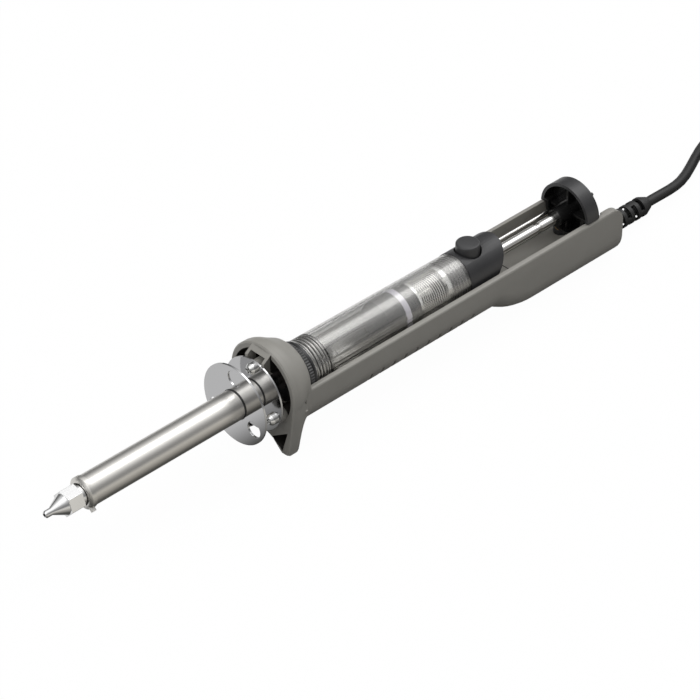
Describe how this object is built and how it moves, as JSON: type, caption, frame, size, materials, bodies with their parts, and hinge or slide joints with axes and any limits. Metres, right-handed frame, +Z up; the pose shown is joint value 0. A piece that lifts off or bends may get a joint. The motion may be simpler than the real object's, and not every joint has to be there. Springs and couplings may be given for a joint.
{
  "type": "desoldering iron",
  "caption": "Mains desoldering iron: a heated suction nozzle on a steel barrel, and a spring pump lying in an open handle.",
  "frame": {"origin": "middle of the tool without its free lead, on the surface it lies on", "axes": "+X along the pump axis from the nozzle to the tail, +Z up out of the open handle"},
  "size_m": [0.5017, 0.0517, 0.0452],
  "materials": {
    "plated_nozzle": "satin",
    "dark_screw": "satin",
    "steel": "satin",
    "ceramic": "matt",
    "polished_steel": "polished",
    "plated_screw": "polished",
    "grey_plastic": "satin",
    "black_plastic": "satin",
    "brass_screw": "satin",
    "wire_sleeve": "matt",
    "silicone": "matt",
    "clear_plastic": "clear",
    "pale_seal": "satin",
    "black_rubber": "matt",
    "plated_pin": "satin"
  },
  "bodies": {
    "body": {"nozzle": "plated_nozzle", "nozzle_set_screw": "dark_screw", "barrel_ring": "steel", "heater_barrel": "steel", "heating_element": "ceramic", "suction_tube": "steel", "ceramic_bush": "ceramic", "shield_disc": "polished_steel", "flange_plate": "polished_steel", "flange_screws": "plated_screw", "handle": "grey_plastic", "pump_bed": "grey_plastic", "cable_cover": "grey_plastic", "cover_cups": "black_plastic", "cover_screws": "brass_screw", "cord_clamp": "black_plastic", "clamp_screws": "plated_screw", "lead_wires": "wire_sleeve", "front_ring": "black_plastic", "nozzle_gasket": "silicone", "clear_cylinder": "clear_plastic", "spring_seat_rear": "steel", "drive_spring": "steel", "end_cap": "black_plastic", "button_spring": "steel", "strain_relief": "black_rubber", "inner_lead": "black_rubber", "cord_free": "black_rubber", "cord_hank": "black_rubber", "cord_tail": "black_rubber", "cord_tie": "black_plastic", "plug_body": "black_rubber", "plug_pins": "plated_pin"},
    "plunger": {"piston": "black_plastic", "piston_seal": "pale_seal", "plunger_rod": "polished_steel", "rod_nut": "plated_screw", "guide_rod": "steel", "spring_seat_front": "steel", "push_knob": "black_plastic"},
    "button": {"release_button": "black_plastic", "latch_plate": "steel"}
  },
  "joints": [
    {"name": "plunger_slide", "type": "slide", "parent": "body", "child": "plunger", "axis": [-1, 0, 0], "range_m": [0, 0.04], "stiffness_N_per_m": 150, "springref_m": -0.02, "deforming": ["drive_spring"]},
    {"name": "button_press", "type": "slide", "parent": "body", "child": "button", "axis": [0, 0, -1], "range_m": [0, 0.0015], "stiffness_N_per_m": 400, "springref_m": -0.001, "deforming": ["button_spring"]}
  ]
}
